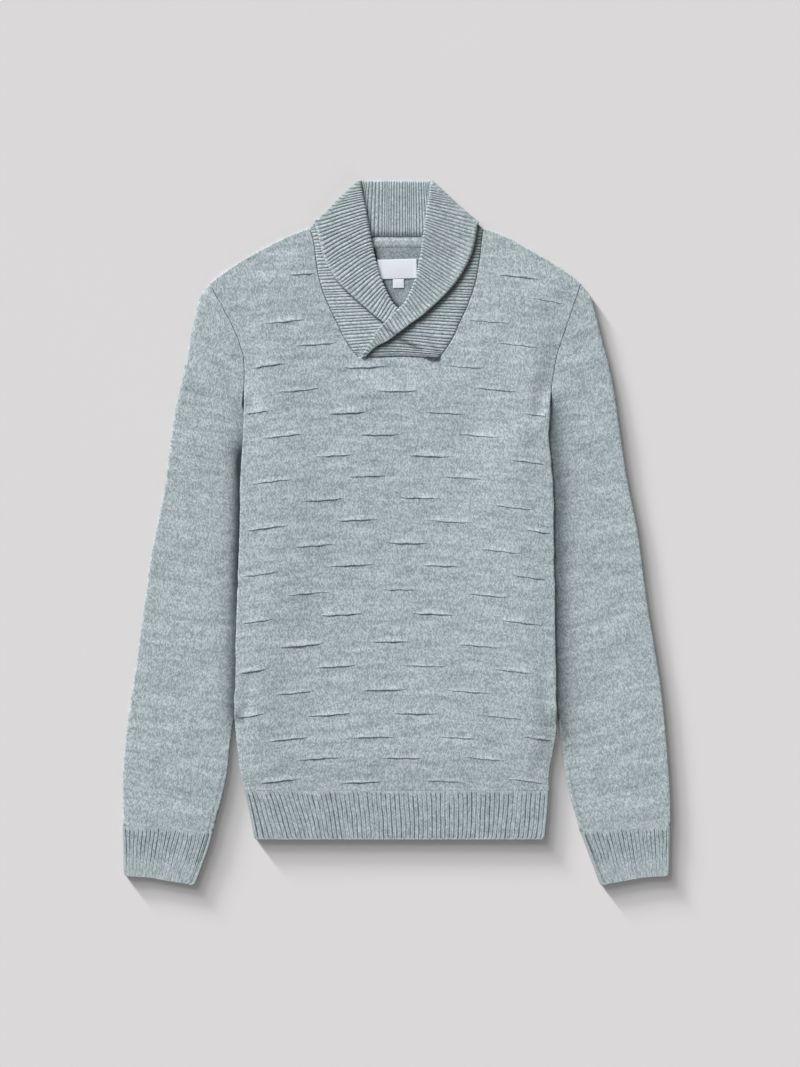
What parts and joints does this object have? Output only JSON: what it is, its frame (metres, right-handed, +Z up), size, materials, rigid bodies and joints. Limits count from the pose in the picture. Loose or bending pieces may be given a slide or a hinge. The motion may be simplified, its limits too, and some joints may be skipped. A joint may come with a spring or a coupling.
{
  "type": "shawl collar pullover",
  "caption": "Long-sleeved knitted pullover laid flat, with a ribbed shawl collar wrapped right over left, short pin tucks on the front, and ribbed cuffs and hem.",
  "frame": {"origin": "middle of the garment's box in plan, on the surface that it lies on", "axes": "+Z up from the surface, +Y from the hem to the collar, +X to the viewer's right"},
  "size_m": [0.626, 0.8052, 0.0135],
  "materials": {
    "knit": "fine stockinette, sage grey melange",
    "rib": "ribbed knit, sage grey melange",
    "label_satin": "plain woven satin, blank"
  },
  "bodies": {
    "root": {"body_front": "knit", "body_back": "knit", "sleeve_left": "knit", "sleeve_right": "knit", "cuff_left": "rib", "cuff_right": "rib", "hem_band": "rib", "collar": "rib", "neck_tape": "knit", "neck_label": "label_satin", "size_tab": "label_satin"}
  },
  "joints": []
}
